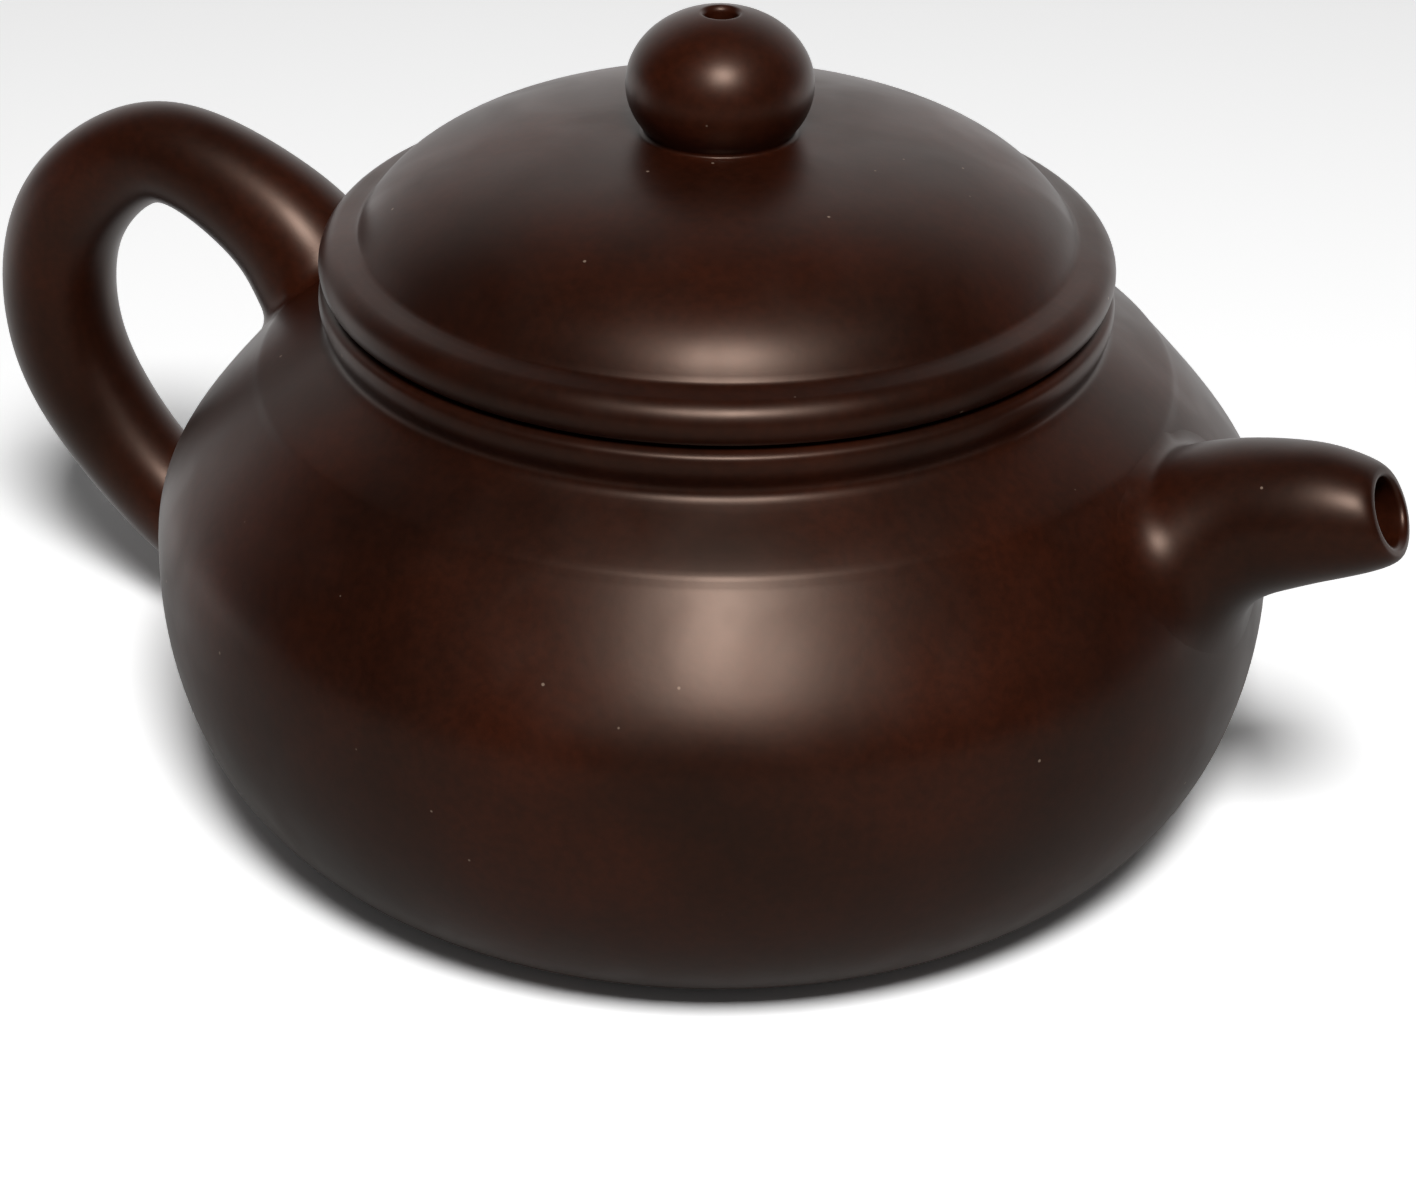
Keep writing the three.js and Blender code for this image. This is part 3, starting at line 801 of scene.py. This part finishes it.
# Colours over the values of a pattern, each stop a position and a colour
def ramp(tree, factor, stops):
    made = addNode(tree, "ValToRGB", Fac=factor)
    bar = made.color_ramp.elements
    for _ in stops[2:]:
        bar.new(0.5)
    for element, (position, colour) in zip(bar, stops):
        element.position = position
        element.color = colour
    return made.outputs["Color"]


def grey(value):
    return (value, value, value, 1.0)


# Stoneware burnished with a smooth tool before firing, never glazed
burnished = {
    "clay": "#280e05",  # purple-brown clay, the colour of most of the pot
    "smoked": "#1b0904",  # darker where the kiln was smoky
    "ruddy": "#371407",  # redder where it was hotter
    "speck": "#7d6a5c",
    "patch": 22.0,  # size of the darker and redder places
    "grain": 0.9,  # the clay's grain is finer, about 0.2, but at that size it wouldn't show from here
    "speckGap": 3.6,  # between specks of mica, of which most are left out
    "strokes": 9.0,  # size of the places that shine more or less
    "grainTone": (0.82, 1.15),  # the darkest and palest grains, as shares of the clay's colour
    "grainHeight": 0.04,
    "strokeHeight": 0.1,
    "roughness": (0.35, 0.41),
    "ior": 1.45,
    "shine": "#ffdcc8",  # colour of its shine, warm from years of tea and handling
}

# The same clay where no tool reached: inside the pot, on the strainer and on the ring under the lid
bare = {
    "clay": "#2e170e",
    "smoked": "#23110b",
    "ruddy": "#3a1e14",
    "speck": "#7d6a5c",
    "patch": 16.0,
    "grain": 1.0,
    "speckGap": 3.0,
    "strokes": 6.0,
    "grainTone": (0.82, 1.15),
    "grainHeight": 0.04,
    "strokeHeight": 0.1,
    "roughness": (0.72, 0.85),
    "ior": 1.45,
    "shine": "#fff2e8",
}


# Repeats in a metre of a pattern whose size is in millimetres
def perMetre(size):
    return 1 / (size * mm)


def clayMaterial(name, look):
    material = bpy.data.materials.new(name)
    tree = emptyTree(material)
    place = addNode(tree, "TexCoord").outputs["Object"]
    patches = addNode(tree, "TexNoise", Vector=place, Scale=perMetre(look["patch"]), Detail=3.0)
    grain = addNode(tree, "TexNoise", Vector=place, Scale=perMetre(look["grain"]), Detail=3.0, Roughness=0.6)
    scale = perMetre(look["strokes"])
    strokes = addNode(tree, "TexNoise", Vector=place, Scale=scale, Detail=2.0, Distortion=0.6)
    # patches of smoked and ruddy clay
    colour = ramp(tree, patches.outputs["Fac"], [
        (0.3, linearColour(look["smoked"])),
        (0.5, linearColour(look["clay"])),
        (0.72, linearColour(look["ruddy"])),
    ])
    # grain: single grains a little darker or paler than their neighbours
    dark, pale = look["grainTone"]
    tone = ramp(tree, grain.outputs["Fac"], [(0.35, grey(dark)), (0.65, grey(pale))])
    grained = addNode(tree, "Mix", data_type="RGBA", blend_type="MULTIPLY", Factor=1.0, i6=colour, i7=tone)
    # few pale specks of mica
    specks = addNode(tree, "TexVoronoi", Vector=place, Scale=perMetre(look["speckGap"]))
    few = ramp(tree, specks.outputs["Color"], [(0.6, grey(0.0)), (0.62, grey(1.0))])
    small = ramp(tree, specks.outputs["Distance"], [(0.03, grey(1.0)), (0.05, grey(0.0))])
    mica = addNode(tree, "Math", operation="MULTIPLY", i0=few, i1=small)
    speck = linearColour(look["speck"])
    speckled = addNode(tree, "Mix", data_type="RGBA", Factor=mica.outputs[0], i6=grained.outputs[2], i7=speck)
    # places that the burnishing tool passed more or less often
    smooth, rough = look["roughness"]
    shine = addNode(
        tree,
        "MapRange",
        Value=strokes.outputs["Fac"],
        From_Min=0.35,
        From_Max=0.65,
        To_Min=smooth,
        To_Max=rough,
    )
    # both are very low, because the surface is burnished or wiped smooth
    wave = addNode(
        tree,
        "Bump",
        Height=strokes.outputs["Fac"],
        Strength=0.1,
        Distance=look["strokeHeight"] * mm,
    )
    pitted = addNode(
        tree,
        "Bump",
        Height=grain.outputs["Fac"],
        Strength=0.12,
        Distance=look["grainHeight"] * mm,
        Normal=wave.outputs[0],
    )
    shader = addNode(
        tree,
        "BsdfPrincipled",
        Base_Color=speckled.outputs[2],
        Roughness=shine.outputs[0],
        Normal=pitted.outputs[0],
        IOR=look["ior"],
        Specular_Tint=linearColour(look["shine"]),
    )
    addNode(tree, "OutputMaterial", Surface=shader.outputs[0])
    return material


def paint(piece, material):
    piece.data.materials.clear()
    piece.data.materials.append(material)


# Bare clay on the faces of the pot that no burnishing tool reaches: the chamber and the port
def paintInside(piece, material):
    piece.data.materials.append(material)
    for face in piece.data.polygons:
        centre = np.array(face.center) / mm
        deep = fromSkin(centre[None])[0][0] < -pot["bareDepth"]
        face.material_index = int(deep and pot["bareAbove"] < centre[2] < mouthTop - pot["bareBelow"])


# Studio
studio = {
    "floor": "#a0a09e",
    "floorSeen": 1.5,  # the camera's exposure of the paper, as a share of full reflection
    "floorSize": 3000.0,  # the paper's length and width
    "keyAzimuth": 30.0,
    "keyHeight": 53.0,
    "keyDistance": 1000.0,
    "keySize": 260.0,
    "keyAim": 30.0,  # height that it points at
    "keyPower": 9.0,  # watts
    "skyPower": 0.09,  # light of the room all round, as a share of white
    "roomShine": 0.015,  # the dark room in front of the pot, as the clay mirrors it
    "aboveShine": 0.15,  # and the room above it, as a share of the paper
    "backdropAzimuth": 203.0,  # middle of the white paper behind the pot
    "backdropSides": (0.35, 0.95),  # it comes up between these cosines of the angle from its middle
    "backdropTop": (0.85, 0.55),  # and fades out above, between these sines of the height
    "paperFront": (-20.0, 80.0),  # its sweep on the floor comes up between these distances behind the pot
}

# Camera, found from the outline of the pot in the photograph
shot = {
    "azimuth": 25.0,
    "elevation": 29.66,
    "distance": 365.2,
    "lookHeight": 17.86,
    "sideways": 0.375,  # it looks this far to the left of the pot's axis
    "roll": 0.886,
    "lens": 91.53,
    "sensor": 36.0,
}


def directionTo(azimuth, elevation):
    a = math.radians(azimuth)
    e = math.radians(elevation)
    return Vector((math.sin(a) * math.cos(e), -math.cos(a) * math.cos(e), math.sin(e)))


def buildFloor():
    half = studio["floorSize"] / 2
    corners = [(-half, -half, 0), (half, -half, 0), (half, half, 0), (-half, half, 0)]
    floor = newPiece("floor", corners, [(0, 1, 2, 3)])
    material = bpy.data.materials.new("pale_paper")
    tree = emptyTree(material)
    matt = addNode(tree, "BsdfDiffuse", Color=linearColour(studio["floor"]))
    # the camera sees the paper brighter than the pot does, so that it is white and its shadow stays
    bright = addNode(tree, "BsdfDiffuse", Color=grey(studio["floorSeen"]))
    path = addNode(tree, "LightPath")
    # in the clay's own shine the paper is white behind the pot and falls off towards the room in front
    place = addNode(tree, "TexCoord").outputs["Object"]
    behind = tuple(directionTo(studio["backdropAzimuth"], 0) / mm)
    depth = addNode(tree, "VectorMath", operation="DOT_PRODUCT", i0=place, i1=behind)
    front, back = studio["paperFront"]
    far = addNode(tree, "MapRange", Value=depth.outputs["Value"], From_Min=front, From_Max=back)
    asShine = path.outputs["Is Glossy Ray"]
    mirrored = addNode(tree, "Math", operation="MULTIPLY", i0=far.outputs[0], i1=asShine)
    white = addNode(tree, "Emission", Color=grey(1.0), Strength=1.0)
    shone = addNode(tree, "MixShader", i0=mirrored.outputs[0], i1=matt.outputs[0], i2=white.outputs[0])
    asSeen = path.outputs["Is Camera Ray"]
    paper = addNode(tree, "MixShader", i0=asSeen, i1=shone.outputs[0], i2=bright.outputs[0])
    addNode(tree, "OutputMaterial", Surface=paper.outputs[0])
    paint(floor, material)


def buildKey():
    data = bpy.data.lights.new("key", "AREA")
    data.size = studio["keySize"] * mm
    data.energy = studio["keyPower"]
    lamp = bpy.data.objects.new("key", data)
    scene.collection.objects.link(lamp)
    back = directionTo(studio["keyAzimuth"], studio["keyHeight"])
    lamp.location = back * studio["keyDistance"] * mm + Vector((0, 0, studio["keyAim"] * mm))
    lamp.rotation_euler = back.to_track_quat("Z", "Y").to_euler()


def buildRoom():
    world = bpy.data.worlds.new("studio")
    scene.world = world
    tree = emptyTree(world)
    path = addNode(tree, "LightPath")
    # the clay mirrors white paper behind the pot, and a dark room in front of it and above
    room = studio["roomShine"]
    way = addNode(tree, "TexCoord").outputs["Generated"]
    behind = directionTo(studio["backdropAzimuth"], 0)
    facing = addNode(tree, "VectorMath", operation="DOT_PRODUCT", i0=way, i1=tuple(behind)).outputs["Value"]
    side, middle = studio["backdropSides"]
    shade = addNode(tree, "MapRange", Value=facing, From_Min=side, From_Max=middle, To_Min=room)
    height = addNode(tree, "SeparateXYZ", Vector=way).outputs["Z"]
    top, full = studio["backdropTop"]
    low = addNode(tree, "MapRange", Value=height, From_Min=top, From_Max=full, To_Min=studio["aboveShine"])
    shone = addNode(tree, "Math", operation="MULTIPLY", i0=shade.outputs[0], i1=low.outputs[0])
    plain = addNode(tree, "Background", Color=grey(1.0), Strength=studio["skyPower"])
    mirrored = addNode(tree, "Background", Color=grey(1.0), Strength=shone.outputs[0])
    white = addNode(tree, "Background", Color=grey(1.0), Strength=1.0)
    asShine = path.outputs["Is Glossy Ray"]
    glossy = addNode(tree, "MixShader", i0=asShine, i1=plain.outputs[0], i2=mirrored.outputs[0])
    asSeen = path.outputs["Is Camera Ray"]
    seen = addNode(tree, "MixShader", i0=asSeen, i1=glossy.outputs[0], i2=white.outputs[0])
    addNode(tree, "OutputWorld", Surface=seen.outputs[0])


def buildCamera():
    back = directionTo(shot["azimuth"], shot["elevation"])
    a = math.radians(shot["azimuth"])
    right = Vector((math.cos(a), math.sin(a), 0))
    axes = Matrix((right, back.cross(right), back)).transposed()
    data = bpy.data.cameras.new("camera")
    data.sensor_width = shot["sensor"]
    data.lens = shot["lens"]
    camera = bpy.data.objects.new("camera", data)
    scene.collection.objects.link(camera)
    place = Vector((0, 0, shot["lookHeight"])) - right * shot["sideways"] + back * shot["distance"]
    turn = axes @ Matrix.Rotation(math.radians(shot["roll"]), 3, "Z")
    camera.matrix_world = Matrix.Translation(place * mm) @ turn.to_4x4()
    scene.camera = camera


print("pot")
burnishedPieces = [buildPot(), buildSpout(), buildHandle()]
strainerPiece = buildStrainer()
print("lid")
burnishedPieces += [buildLid(), buildKnob()]
flangePiece = buildFlange()

print("clay")
burnishedClay = clayMaterial("burnished_purple_clay", burnished)  # satin, dark, soft highlights
bareClay = clayMaterial("bare_purple_clay", bare)  # matt, a little paler and grainier
for piece in burnishedPieces:
    paint(piece, burnishedClay)
for piece in (strainerPiece, flangePiece):
    paint(piece, bareClay)
paintInside(burnishedPieces[0], bareClay)

print("studio")
buildFloor()
buildKey()
buildRoom()
buildCamera()
scene.view_settings.view_transform = "Standard"
